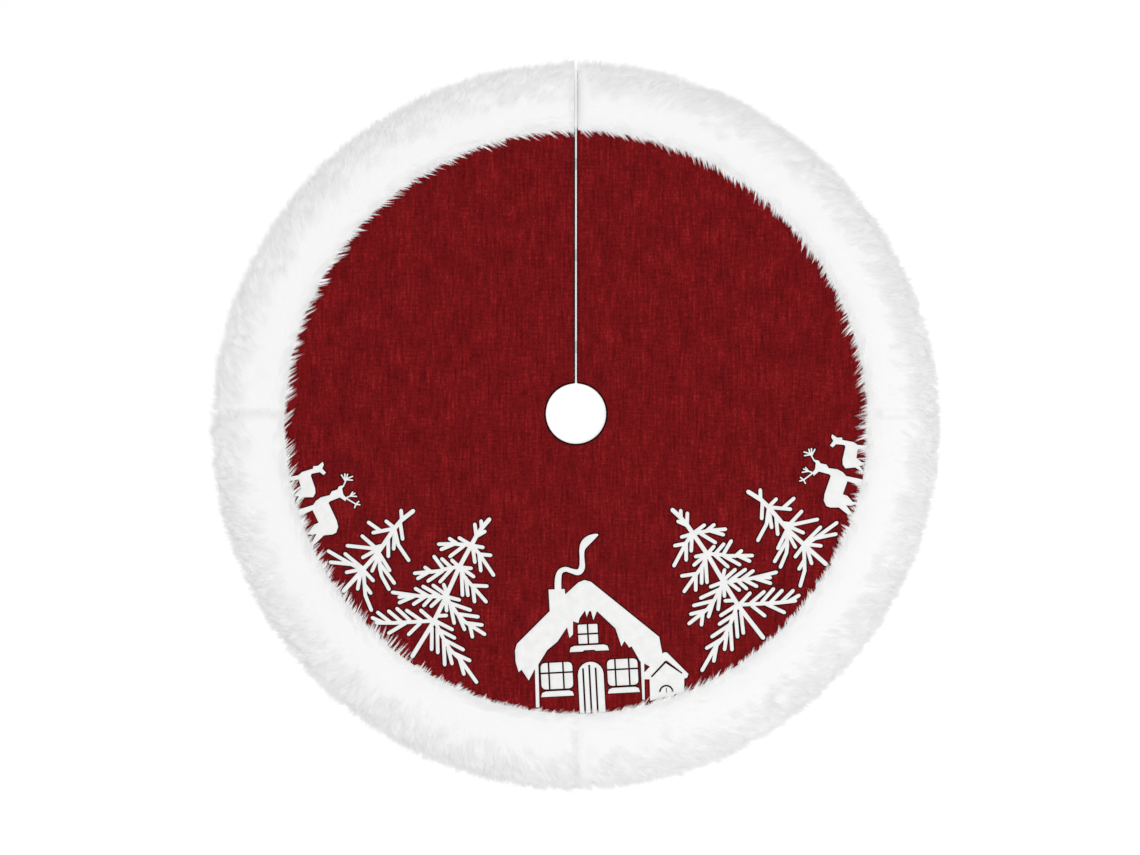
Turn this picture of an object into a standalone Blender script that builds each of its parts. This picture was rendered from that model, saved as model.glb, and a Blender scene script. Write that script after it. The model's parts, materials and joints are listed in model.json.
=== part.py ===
"""A round cloth tree skirt, laid flat, open at its slit.

+Z is up and the skirt lies on z = 0. The origin is under the middle of the fur rim. The slit runs
from the hole towards +Y, and the decorated half lies towards -Y. The cloth folds on the line
along X through the middle of the hole, so the two back quarters are flaps that lift and turn over.
"""
import math

import bmesh
import bpy
from mathutils import Vector
from mathutils.geometry import delaunay_2d_cdt

MM = 0.001

# Overall sizes.
SKIRT_RADIUS = 0.6096
CLOTH_RADIUS = 0.492
CLOTH_SHIFT = 0.0075
HOLE_RADIUS = 0.0515
FOLD_Y = 0.0215
SLIT_GAP = 0.0026
LAYER_GAP = 0.0003

# Thickness of each layer.
TAPE_THICKNESS = 0.0008
LINING_THICKNESS = 0.0008
CLOTH_THICKNESS = 0.0012
FELT_THICKNESS = 0.0015

# The fur band: its full height, and its height at the two edges.
FUR_HEIGHT = 0.025
FUR_INNER_EDGE = 0.010
FUR_OUTER_EDGE = 0.009
FUR_SPAN_STEPS = 8

# The fold line's height above the fur, and the steps in a quarter turn of a round edge.
FOLD_CLEARANCE = 0.0005
QUARTER_STEPS = 24

# Hook and loop closures under the slit.
CLOSURE_COUNT = 3
CLOSURE_WIDTH = 0.020
TAB_REACH = 0.022
TAB_SEWN_END = 0.020
TAB_SEWN_START = 0.003
PATCH_START = 0.003
PATCH_LENGTH = 0.022
CLOSURE_MARGIN = 0.060

# Felt strokes.
TRUNK_WIDTH = 0.0074
TWIG_WIDTH = 0.0062
ANTLER_WIDTH = 0.0024
TIP_SEGMENTS = 3
GLAZING_BAR = 0.0028
GLAZING_DEPTH = 0.0009
BAR_OVERRUN = 1.3

# Heights of the layers, from the floor up.
TAB_Z = LAYER_GAP
PATCH_Z = TAB_Z + TAPE_THICKNESS + LAYER_GAP
LINING_Z = PATCH_Z + TAPE_THICKNESS + LAYER_GAP
CLOTH_Z = LINING_Z + LINING_THICKNESS + LAYER_GAP
FELT_Z = CLOTH_Z + CLOTH_THICKNESS + LAYER_GAP
FOLD_Z = FUR_HEIGHT + FOLD_CLEARANCE

# Circles as (centre, radius).
HOLE = (Vector((0, FOLD_Y)), HOLE_RADIUS)
CLOTH_EDGE = (Vector((0, CLOTH_SHIFT)), CLOTH_RADIUS)
FUR_SEAM = (Vector((0, CLOTH_SHIFT)), CLOTH_RADIUS + LAYER_GAP)
RIM = (Vector((0, 0)), SKIRT_RADIUS)

# The motifs are drawn in mm for a cloth of this radius, and keep their share of any other cloth.
DRAWN_RADIUS = 0.492
DRAWN_MM = MM * CLOTH_RADIUS / DRAWN_RADIUS

# A conifer in mm, from the foot of its trunk: the trunk's middle line, then those of the branches
# and twigs, from the lowest tier up.
TALL_TRUNK = ((0.7, 3), (3.5, 72), (1.2, 112), (-4, 170), (-4.7, 228), (-3, 248), (0.5, 265))
TALL_TWIGS = (
    ((3, 72), (-30, 51), (-52, 37), (-79, 22)), ((2, 71), (-24.5, 76.5)), ((-14, 62), (-45, 64.8)),
    ((-32, 53), (-60.6, 59.5)), ((-38, 43), (-70.6, 49)), ((-58, 34), (-85.6, 38.2)), ((-68, 28), (-89, 26)),
    ((-15, 57), (-22.6, 31.5)), ((-36, 46), (-52.5, 17)),
    ((5, 72), (30, 55), (50, 43.5), (74, 37), (115.5, 17.7)), ((5, 73), (37, 74.3)), ((17, 63), (47.2, 64)),
    ((34, 53), (69.5, 54)), ((55, 41), (87.8, 43.5)), ((6, 60), (23.2, 28.5)), ((14, 64), (34.8, 29)),
    ((33, 52), (54.8, 17)), ((46, 44), (64.5, 24.5)), ((71, 38), (90.5, 19)), ((4, 82), (16.8, 90)),
    ((0, 116), (-27, 102.5), (-40, 95.5), (-80.5, 79.5)), ((0, 122), (-12.3, 132.8)), ((-2, 120), (-27, 123)),
    ((-10, 113), (-41, 113.2)), ((-25, 103.5), (-50.2, 103.8)), ((-6, 112), (-12.8, 91)),
    ((-19, 108), (-24.2, 86)), ((-29, 101), (-40.2, 79.5)), ((-44, 94), (-62, 70.2)), ((-52, 90), (-67, 78)),
    ((2, 116), (30, 102), (48, 96), (88, 94)), ((3, 118), (23, 123.3)), ((12, 111), (47.3, 117.5)),
    ((31, 101), (64, 114)), ((52, 95.5), (76.5, 105.3)), ((4, 112), (13.2, 97.2)), ((13, 110), (34.5, 85.3)),
    ((33, 101), (54.8, 84.5)), ((58, 96), (72.3, 80.3)),
    ((-5, 171), (-18, 161), (-30, 149), (-64, 125.5)), ((-5, 171.5), (-20.5, 175)), ((-16, 164), (-36.2, 168.8)),
    ((-25, 155), (-49.4, 165.8)), ((-40, 141), (-53.8, 142.5)), ((-13, 165), (-20, 134)),
    ((-25, 152), (-38, 125.3)), ((-45, 138), (-55, 120.5)),
    ((-3, 171), (12, 160.5), (38, 151.5), (63.5, 142.5)), ((-3, 171.5), (14.2, 179)), ((5, 171), (24.7, 169)),
    ((30, 155), (51.8, 166)), ((2, 168), (23.6, 132.8)), ((14, 161), (31.8, 137)), ((32, 153), (46.5, 133.2)),
    ((-8, 211), (-30, 201), (-53, 187.5)), ((-5, 213), (-28, 213.5)), ((-27, 203.5), (-41.5, 204.5)),
    ((-15, 205), (-26.3, 179)), ((-30, 201), (-44.8, 182)),
    ((-3, 213), (12.5, 207.5), (25, 201.3), (52.5, 187.5)), ((-3, 213), (14.2, 219.2)), ((14, 206), (31.9, 214)),
    ((0, 210), (14.6, 191)), ((15, 205), (30.3, 183.5)),
    ((-6, 232), (-16.5, 246)), ((-3, 232), (4, 244)), ((-4, 247), (-10, 256)),
)
SHORT_TRUNK = ((-1, 3), (0, 50), (0, 88), (-2.5, 110), (-6, 138), (-6.5, 155), (-1.8, 180))
SHORT_TWIGS = (
    ((-1, 50), (-25, 44), (-64, 36.2)), ((0, 52.5), (-40, 51.2)), ((-22, 44), (-49.2, 24.5)),
    ((-3, 49), (-17.8, 29.5)),
    ((2, 50), (31, 21.5), (55, 9.5)), ((0, 51), (24.8, 48.6)), ((18, 34), (35.5, 30.2)), ((2, 42), (14.5, 21)),
    ((-2, 95), (-46.2, 63.8)), ((-8, 92.5), (-38.2, 92.3)), ((-2, 103), (-9, 93)), ((-6, 88), (-13.8, 66)),
    ((3, 89), (20, 71), (30, 64), (54.2, 55.2)), ((3, 89), (34.2, 79.5)), ((16, 77), (54, 68.7)),
    ((4, 86), (12.8, 59.5)), ((-2, 117), (17, 95.7)),
    ((-8, 135), (-28.2, 108.5)), ((-7, 138), (-24.4, 137.4)), ((-22, 119), (-45.2, 116.5)),
    ((-4, 136), (17, 121), (47, 113.2)), ((2, 128), (15.5, 111)), ((-4, 150), (15.8, 133.3)),
    ((-7, 157), (-17.5, 167.3)),
)
TALL_TREE = (TALL_TRUNK, TALL_TWIGS)
SHORT_TREE = (SHORT_TRUNK, SHORT_TWIGS)

# Deer outlines in mm, from the front hoof round the head, back and hind legs.
STAG = (
    (-4, 0), (-4, 28), (-9, 34), (-12, 44), (-11, 59), (-16, 64), (-16, 74), (-20, 78), (-20, 84),
    (-18, 87), (-15, 82), (-5, 81), (2, 84), (7, 81), (-2, 74), (-1, 56), (1, 53), (33, 57),
    (44, 56), (52, 50), (53, 43), (50, 29), (59, 11), (57, 3), (44, 18), (43, 10), (38, 1),
    (37, 7), (28, 19), (27, 27), (4, 24), (7, 0),
)
ANTLERS = (
    ((-18, 85), (-28, 94)), ((-26, 91), (-37, 88)), ((-26, 91), (-37, 94)), ((-28, 94), (-35, 98)),
    ((-28, 94), (-29, 105)), ((-27, 93), (-23, 103)), ((2, 82), (1, 91)), ((1, 91), (-4, 97)),
    ((1, 90), (-1, 100)), ((1, 91), (5, 101)), ((2, 83), (17, 96)), ((17, 96), (20, 102)),
    ((17, 96), (22, 92)), ((17, 96), (14, 102)),
)
DOE = (
    (-3, 0), (-3, 16), (-7, 23), (-9, 42), (-13, 43), (-12, 51), (-17, 60), (-12, 61), (-6, 57),
    (2, 62), (5, 57), (-1, 52), (-1, 38), (2, 36), (24, 39), (32, 38), (38, 33), (35, 17), (41, 5),
    (41, 1), (32, 10), (30, 2), (27, 4), (19, 16), (4, 15), (4, 0),
)

# The cottage in mm, from the foot of the door. The snow roof goes round from the left eave over
# the chimney and the ridge to the right eave, then back under the snow with its icicles.
SNOW_ROOF = (
    (-124, 68), (-129, 85), (-130, 104), (-127, 115), (-72, 170), (-74, 206), (-47, 207), (-46, 198),
    (-24, 218), (-14, 222), (-3, 219), (111, 127), (117, 96), (98, 76), (79, 86), (65, 111), (61, 109),
    (53, 120), (48, 111), (44, 123), (38, 141), (7, 170), (1, 155), (-3, 170), (-6, 170), (-10, 160),
    (-13, 171), (-22, 158), (-24, 150), (-33, 153), (-33, 131), (-39, 125), (-43, 143), (-59, 119),
    (-76, 105), (-92, 79), (-97, 73), (-107, 54), (-119, 72),
)
LEFT_POST = ((-97, 82), (-95, 9), (-89, 9), (-91, 84))
RIGHT_POST = ((80, 88), (83, 22), (87, 22), (86, 88))
ANNEX = ((81, 62), (119, 101), (124, 101), (160, 65), (158, 59), (153, 57), (153, 35), (96, 20), (95, 56),
         (82, 56))
ANNEX_ROOF_LINE = ((97, 61), (121, 87), (124, 87), (150, 67), (149, 65), (122, 83), (99, 59))
PORTHOLE = (123, 34.5, 12.3)
PORTHOLE_LINE = 2.8
SMOKE = ((-58, 204, 11), (-58, 222, 11), (-55, 235, 9), (-46, 240, 8), (-35, 237, 8), (-24, 235, 10),
         (-18, 243, 10), (-18, 258, 8), (-18, 272, 9), (-14, 282, 13), (-6, 290, 13), (4, 296, 7),
         (9, 298, 2))
SMOKE_STEPS = 3

COTTAGE_LEAN = math.radians(3)
DOOR_WIDTH = 43
DOOR_SPRING = 64
DOOR_SLOT = 3
DOOR_SLOTS = ((-0.29, 0.26), (-0.045, 0.38), (0.2, 0.26))
ARCH_STEPS = 10
SMALL_WINDOW = (-8, 132, 33, 32, 2)
LEFT_WINDOW = (-60, 62, 53, 44, 7)
RIGHT_WINDOW = (50, 68, 51, 44, 7)
TOP_SILL = (-6, 108, 66, 10, 2)
LEFT_SILL = (-59, 32, 55, 9, 0)
RIGHT_SILL = (52, 38, 54, 9, 0)
SILL_TAPER = 4

# Where each motif stands: degrees round from -Y, its lean off the radius, how far its foot is
# inside the cloth's edge, and whether it is the mirrored one.
TREE_SPOTS = {
    "felt_tree_tall_left": (TALL_TREE, -35, 5.6, 0.0115, False),
    "felt_tree_tall_right": (TALL_TREE, 41, -5.6, 0.0115, True),
    "felt_tree_short_left": (SHORT_TREE, -53.8, 12.5, 0.009, False),
    "felt_tree_short_right": (SHORT_TREE, 60.2, -12.9, 0.009, True),
}
DEER_SPOTS = {
    "felt_stag_left": (STAG, ANTLERS, -72, 0.0036, False),
    "felt_stag_right": (STAG, ANTLERS, 78.2, 0.0036, True),
    "felt_doe_left": (DOE, (), -78.8, 0.0036, False),
    "felt_doe_right": (DOE, (), 85, 0.0036, True),
}
COTTAGE_ANGLE = 3.3
COTTAGE_MARGIN = 0.005


def clear_scene():
    for thing in list(bpy.data.objects):
        bpy.data.objects.remove(thing, do_unlink=True)


def new_collection(name):
    group = bpy.data.collections.new(name)
    bpy.context.scene.collection.children.link(group)
    return group


def material(name, colour, roughness):
    """A plain cloth-like finish."""
    finish = bpy.data.materials.new(name)
    finish.use_nodes = True
    shader = finish.node_tree.nodes["Principled BSDF"]
    shader.inputs["Base Color"].default_value = (*colour, 1)
    shader.inputs["Roughness"].default_value = roughness
    shader.inputs["Metallic"].default_value = 0
    finish.diffuse_color = (*colour, 1)
    return finish


def add_object(name, mesh, finish, group):
    mesh.materials.append(finish)
    thing = bpy.data.objects.new(name, mesh)
    group.objects.link(thing)
    return thing


# Ring sectors: cloth, lining and fur.

def reach_to(circle, corner, direction):
    """Distance from corner along direction to the circle around it."""
    centre, radius = circle
    offset = corner - centre
    along = offset.dot(direction)
    return math.sqrt(along * along - offset.length_squared + radius * radius) - along


def ring_section(corner, angle, inner, outer, section):
    """The points of one cross-section, which stands on a ray from the corner."""
    direction = Vector((math.cos(angle), math.sin(angle)))
    near = reach_to(inner, corner, direction)
    far = reach_to(outer, corner, direction)
    points = []
    for share, height in section:
        place = corner + direction * (near + share * (far - near))
        points.append((place.x, place.y, height))
    return points


def ring_sector(name, corner, start, quarters, inner, outer, section):
    """A solid swept through quarter turns about the corner, between two circles."""
    steps = QUARTER_STEPS * quarters
    shape = bmesh.new()
    rows = []
    for step in range(steps + 1):
        angle = start + math.pi / 2 * quarters * step / steps
        rows.append([shape.verts.new(p) for p in ring_section(corner, angle, inner, outer, section)])
    count = len(section)
    for row, following in zip(rows, rows[1:]):
        for i in range(count):
            j = (i + 1) % count
            shape.faces.new((row[i], row[j], following[j], following[i]))
    shape.faces.new(rows[0])
    shape.faces.new(rows[-1])
    bmesh.ops.recalc_face_normals(shape, faces=shape.faces)
    bmesh.ops.triangulate(shape, faces=shape.faces)
    mesh = bpy.data.meshes.new(name)
    shape.to_mesh(mesh)
    shape.free()
    return mesh


def flat_section(bottom, thickness):
    return ((0, bottom), (1, bottom), (1, bottom + thickness), (0, bottom + thickness))


def fur_section():
    """A low crowned pile: flat underneath, steep at the inner edge, rounded off at the rim."""
    points = [(0, 0), (1, 0)]
    for step in range(FUR_SPAN_STEPS + 1):
        share = 1 - step / FUR_SPAN_STEPS
        edge = FUR_INNER_EDGE + (FUR_OUTER_EDGE - FUR_INNER_EDGE) * share
        crown = math.sin(math.pi * share) ** 0.6 if 0 < step < FUR_SPAN_STEPS else 0
        points.append((share, edge + (FUR_HEIGHT - edge) * crown))
    return points


def sector_corner(side, end):
    """Where the seams of a quarter meet: side is -1 left or 1 right, end is -1 front or 1 back."""
    across = SLIT_GAP if end > 0 else LAYER_GAP
    return Vector((side * across / 2, FOLD_Y + end * LAYER_GAP / 2))


def make_cloth(name, finish, group, bottom, thickness):
    """A front half and two back flaps of one layer of cloth."""
    section = flat_section(bottom, thickness)
    front = Vector((0, FOLD_Y - LAYER_GAP / 2))
    layers = (
        ("front", front, math.pi, 2),
        ("back_left", sector_corner(-1, 1), math.pi / 2, 1),
        ("back_right", sector_corner(1, 1), 0, 1),
    )
    for place, corner, start, quarters in layers:
        mesh = ring_sector(f"{name}_{place}", corner, start, quarters, HOLE, CLOTH_EDGE, section)
        add_object(f"{name}_{place}", mesh, finish, group)


def make_fur(finish, group):
    """Four quarter lengths of fur band, sewn end to end at the seams."""
    quarters = (
        ("back_right", 1, 1, 0),
        ("back_left", -1, 1, math.pi / 2),
        ("front_left", -1, -1, math.pi),
        ("front_right", 1, -1, 3 * math.pi / 2),
    )
    for place, side, end, start in quarters:
        name = f"fur_band_{place}"
        mesh = ring_sector(name, sector_corner(side, end), start, 1, FUR_SEAM, RIM, fur_section())
        add_object(name, mesh, finish, group)


# Felt pieces.

def stroke(start, end, width):
    """A straight bar with round ends, as an outline in mm that runs anticlockwise."""
    start = Vector(start)
    end = Vector(end)
    heading = math.atan2(end.y - start.y, end.x - start.x)
    points = []
    for centre, facing in ((end, heading), (start, heading + math.pi)):
        for step in range(TIP_SEGMENTS + 1):
            angle = facing - math.pi / 2 + math.pi * step / TIP_SEGMENTS
            points.append(centre + Vector((math.cos(angle), math.sin(angle))) * width / 2)
    return points


def line_strokes(line, width):
    """Strokes end to end along a line of points."""
    return [stroke(start, end, width) for start, end in zip(line, line[1:])]


def tree_loops(trunk, twigs):
    loops = line_strokes(trunk, TRUNK_WIDTH / DRAWN_MM)
    for twig in twigs:
        loops += line_strokes(twig, TWIG_WIDTH / DRAWN_MM)
    return loops


def deer_loops(body, antlers):
    width = ANTLER_WIDTH / DRAWN_MM
    return [list(body)] + [stroke(start, end, width) for start, end in antlers]


def smooth_path(points, steps):
    """Points of a curve through the given ones, with the width blended along it."""
    padded = [points[0], *points, points[-1]]
    path = []
    for a, b, c, d in zip(padded, padded[1:], padded[2:], padded[3:]):
        for step in range(steps):
            t = step / steps
            path.append([0.5 * (2 * q + (r - p) * t + (2 * p - 5 * q + 4 * r - s) * t * t
                                + (3 * q - p - 3 * r + s) * t ** 3) for p, q, r, s in zip(a, b, c, d)])
    path.append(list(points[-1]))
    return path


def smoke_loop():
    """The chimney's curl of smoke, a ribbon that swells and ends in a point."""
    path = smooth_path(SMOKE, SMOKE_STEPS)
    left = []
    right = []
    for before, here, after in zip([path[0]] + path[:-1], path, path[1:] + [path[-1]]):
        heading = Vector((after[0] - before[0], after[1] - before[1])).normalized()
        side = Vector((-heading.y, heading.x)) * here[2] / 2
        left.append(Vector(here[:2]) + side)
        right.append(Vector(here[:2]) - side)
    return right + left[::-1]


def arc(centre, radius, start, end, steps):
    points = []
    for step in range(steps + 1):
        angle = math.radians(start + (end - start) * step / steps)
        points.append(Vector(centre) + Vector((math.cos(angle), math.sin(angle))) * radius)
    return points


def leaned(points, pivot):
    """Points turned by the cottage's lean about a pivot."""
    pivot = Vector(pivot)
    cosine = math.cos(COTTAGE_LEAN)
    sine = math.sin(COTTAGE_LEAN)
    turned = []
    for point in points:
        x, y = Vector(point) - pivot
        turned.append(pivot + Vector((x * cosine - y * sine, x * sine + y * cosine)))
    return turned


def rounded_panel(x, y, width, height, radius):
    corners = ((1, 1, 0), (-1, 1, 90), (-1, -1, 180), (1, -1, 270))
    points = []
    for side, end, start in corners:
        centre = (x + side * (width / 2 - radius), y + end * (height / 2 - radius))
        points += arc(centre, radius, start, start + 90, TIP_SEGMENTS)
    return leaned(points, (x, y))


def sill_loop(x, y, width, height, recess):
    """A sill with snow on it: wider at the foot, its upper corners rounded off, recessed below."""
    half = width / 2
    low = y - height / 2
    shoulder = y + height / 4
    high = y + height / 2
    right = [(half / 4, low + recess), (half / 3, low), (half, low), (half - SILL_TAPER / 2, shoulder),
             (half - 2 * SILL_TAPER, high)]
    left = [(-across, up) for across, up in reversed(right)]
    return leaned([(x + across, up) for across, up in right + left], (x, y))


def door_loops():
    """An arched plank door and the three slots between its planks, which end at its foot."""
    half = DOOR_WIDTH / 2
    outline = [(-half, 0), (half, 0), *arc((0, DOOR_SPRING), half, 0, 180, ARCH_STEPS)]
    slots = []
    for place, top in DOOR_SLOTS:
        x = place * DOOR_WIDTH
        roof = DOOR_SPRING + top * DOOR_WIDTH
        slot = [(x - DOOR_SLOT / 2, -DOOR_SLOT), (x + DOOR_SLOT / 2, -DOOR_SLOT),
                (x + DOOR_SLOT / 2, roof), (x - DOOR_SLOT / 2, roof)]
        slots.append(leaned(slot, (0, 0)))
    return [leaned(outline, (0, 0))], slots


def porthole_cuts():
    """The curved line over the annex's round window, and the bar down its middle."""
    x, y, radius = PORTHOLE
    outer = arc((x, y), radius, 0, 180, ARCH_STEPS)
    inner = arc((x, y), radius - PORTHOLE_LINE, 0, 180, ARCH_STEPS)
    bar = stroke((x, y), (x, y + radius - 2 * PORTHOLE_LINE), PORTHOLE_LINE / 2)
    return [outer + inner[::-1], bar]


def merged_sheet(name, loops, cuts, mirrored):
    """One flat sheet from overlapping outlines in mm, less the cuts."""
    points = []
    faces = []
    for loop in [*loops, *cuts]:
        side = -1 if mirrored else 1
        corners = [Vector((side * x, y)) * DRAWN_MM for x, y in loop]
        area = sum(a.cross(b) for a, b in zip(corners, corners[1:] + corners[:1]))
        if area < 0:
            corners.reverse()
        faces.append(list(range(len(points), len(points) + len(corners))))
        points += corners
    flat, _, triangles, _, _, sources = delaunay_2d_cdt(points, [], faces, 1, 1e-7)
    shape = bmesh.new()
    verts = [shape.verts.new((p.x, p.y, 0)) for p in flat]
    for triangle, source in zip(triangles, sources):
        if source and max(source) < len(loops):
            shape.faces.new([verts[i] for i in triangle])
    loose = [v for v in shape.verts if not v.link_faces]
    bmesh.ops.delete(shape, geom=loose, context="VERTS")
    bmesh.ops.dissolve_limit(shape, angle_limit=math.radians(0.5), verts=shape.verts, edges=shape.edges)
    bmesh.ops.triangulate(shape, faces=shape.faces)
    bmesh.ops.recalc_face_normals(shape, faces=shape.faces)
    if sum(face.normal.z for face in shape.faces) < 0:
        bmesh.ops.reverse_faces(shape, faces=shape.faces)
    mesh = bpy.data.meshes.new(name)
    shape.to_mesh(mesh)
    shape.free()
    return mesh


def motif_place(degrees, margin):
    """Where a motif's foot stands, inside the cloth's edge."""
    angle = math.radians(degrees)
    reach = CLOTH_RADIUS - margin
    return Vector((reach * math.sin(angle), CLOTH_SHIFT - reach * math.cos(angle), FELT_Z))


def add_felt(name, loops, cuts, mirrored, place, turn, finish, group):
    """A felt cut-out that lies on the cloth."""
    piece = add_object(name, merged_sheet(name, loops, cuts, mirrored), finish, group)
    piece.location = place
    piece.rotation_euler = (0, 0, turn)
    thickness = piece.modifiers.new("thickness", "SOLIDIFY")
    thickness.thickness = FELT_THICKNESS
    thickness.offset = 1
    return piece


def turned(offset, angle):
    """An offset of a motif in drawn mm turned about +Z, in metres."""
    x, y = offset
    across = x * math.cos(angle) - y * math.sin(angle)
    up = x * math.sin(angle) + y * math.cos(angle)
    return Vector((across, up, 0)) * DRAWN_MM


def cut_glazing_bars(window, spec, bars, foot, cutters):
    """Press straight grooves in a window's top face: each is (is upright, offset in mm)."""
    x, y, width, height, _ = spec
    middle = foot + Vector((x * DRAWN_MM, y * DRAWN_MM, FELT_THICKNESS))
    for upright, offset in bars:
        shift = (offset, 0) if upright else (0, offset)
        length = (height if upright else width) * DRAWN_MM * BAR_OVERRUN
        size = (GLAZING_BAR, length) if upright else (length, GLAZING_BAR)
        bpy.ops.mesh.primitive_cube_add(size=1, location=middle + turned(shift, COTTAGE_LEAN))
        bar = bpy.context.object
        bar.name = f"{window.name}_bar_cutter"
        bar.rotation_euler = (0, 0, COTTAGE_LEAN)
        bar.scale = (*size, 2 * GLAZING_DEPTH)
        bar.hide_render = True
        bar.display_type = "WIRE"
        for group in list(bar.users_collection):
            group.objects.unlink(bar)
        cutters.objects.link(bar)
        groove = window.modifiers.new("glazing bar", "BOOLEAN")
        groove.operation = "DIFFERENCE"
        groove.solver = "EXACT"
        groove.object = bar


def make_trees(finish, group):
    for name, (tree, degrees, lean, margin, mirrored) in TREE_SPOTS.items():
        place = motif_place(degrees, margin)
        add_felt(name, tree_loops(*tree), [], mirrored, place, math.radians(degrees + lean), finish, group)


def make_deer(finish, group):
    for name, (body, antlers, degrees, margin, mirrored) in DEER_SPOTS.items():
        place = motif_place(degrees, margin)
        add_felt(name, deer_loops(body, antlers), [], mirrored, place, math.radians(degrees), finish, group)


def make_cottage(finish, group, cutters):
    """The snow-covered cottage: its roof and walls in one cut-out, and its door and windows."""
    foot = motif_place(COTTAGE_ANGLE, COTTAGE_MARGIN)
    frame = [SNOW_ROOF, LEFT_POST, RIGHT_POST, ANNEX, smoke_loop()]
    cuts = [ANNEX_ROOF_LINE, *porthole_cuts()]
    add_felt("felt_cottage_roof_and_walls", frame, cuts, False, foot, 0, finish, group)
    add_felt("felt_cottage_door", *door_loops(), False, foot, 0, finish, group)
    windows = (
        ("felt_window_upper", SMALL_WINDOW, ((True, 0), (False, 0))),
        ("felt_window_left", LEFT_WINDOW, ((True, -13), (True, 11), (False, 5))),
        ("felt_window_right", RIGHT_WINDOW, ((True, -12), (True, 11), (False, 5))),
    )
    for name, spec, bars in windows:
        window = add_felt(name, [rounded_panel(*spec)], [], False, foot, 0, finish, group)
        cut_glazing_bars(window, spec, bars, foot, cutters)
    sills = (("felt_sill_upper", TOP_SILL), ("felt_sill_left", LEFT_SILL), ("felt_sill_right", RIGHT_SILL))
    for name, spec in sills:
        add_felt(name, [sill_loop(*spec)], [], False, foot, 0, finish, group)


# Closures under the slit.

def closure_places():
    """Where along the slit the closures are: evenly, clear of the hole and of the fur."""
    start = FOLD_Y + HOLE_RADIUS + CLOSURE_MARGIN
    end = CLOTH_SHIFT + CLOTH_RADIUS - CLOSURE_MARGIN
    return [start + (end - start) * i / (CLOSURE_COUNT - 1) for i in range(CLOSURE_COUNT)]


def extruded_strip(name, outline, y, finish, group):
    """A strip as wide as a closure, from an outline in X and Z."""
    curve = bpy.data.curves.new(name, "CURVE")
    curve.dimensions = "2D"
    curve.fill_mode = "BOTH"
    curve.extrude = CLOSURE_WIDTH / 2
    line = curve.splines.new("POLY")
    line.points.add(len(outline) - 1)
    for point, (x, z) in zip(line.points, outline):
        point.co = (x, z, 0, 1)
    line.use_cyclic_u = True
    strip = add_object(name, curve, finish, group)
    strip.location = (0, y, 0)
    strip.rotation_euler = (math.pi / 2, 0, 0)


def make_closures(tab_finish, patch_finish, group):
    """Hook tabs sewn under the right flap, and the loop patches under the left flap that they grip."""
    low = TAB_Z
    high = TAB_Z + TAPE_THICKNESS
    sewn_top = LINING_Z - LAYER_GAP
    tab = ((-TAB_REACH, low), (TAB_SEWN_END, low), (TAB_SEWN_END, sewn_top), (TAB_SEWN_START, sewn_top),
           (TAB_SEWN_START, high), (-TAB_REACH, high))
    inner = -PATCH_START
    outer = -PATCH_START - PATCH_LENGTH
    patch_top = PATCH_Z + TAPE_THICKNESS
    patch = ((outer, PATCH_Z), (inner, PATCH_Z), (inner, patch_top), (outer, patch_top))
    for number, y in enumerate(closure_places(), 1):
        extruded_strip(f"hook_tab_{number}", tab, y, tab_finish, group)
        extruded_strip(f"loop_patch_{number}", patch, y, patch_finish, group)


def hang_flaps(group):
    """Parent each back quarter and its closures to an empty on the line it folds along."""
    for side, closures in (("left", "loop_patch"), ("right", "hook_tab")):
        axis = bpy.data.objects.new(f"{side}_flap_fold_axis", None)
        axis.location = (0, FOLD_Y, FOLD_Z)
        group.objects.link(axis)
        for thing in list(group.objects):
            if thing.name.endswith(f"back_{side}") or thing.name.startswith(closures):
                thing.parent = axis
                thing.location -= axis.location


def main():
    clear_scene()
    group = new_collection("tree_skirt")
    cutters = new_collection("cutters")
    red_cloth = material("red cloth", (0.27, 0.012, 0.018), 0.85)
    lining = material("lining cloth", (0.74, 0.73, 0.70), 0.8)
    fur = material("white faux fur", (0.86, 0.86, 0.86), 0.95)
    felt = material("white felt", (0.83, 0.83, 0.81), 0.9)
    hooks = material("hook tape", (0.80, 0.80, 0.79), 0.6)
    loops = material("loop tape", (0.82, 0.82, 0.80), 0.9)
    make_cloth("lining", lining, group, LINING_Z, LINING_THICKNESS)
    make_cloth("red_cloth", red_cloth, group, CLOTH_Z, CLOTH_THICKNESS)
    make_fur(fur, group)
    make_trees(felt, group)
    make_deer(felt, group)
    make_cottage(felt, group, cutters)
    make_closures(hooks, loops, group)
    hang_flaps(group)


main()
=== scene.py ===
"""The looks of a round cloth tree skirt: slubbed red cloth, felt appliques, lining and a faux-fur border."""
import math

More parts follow.
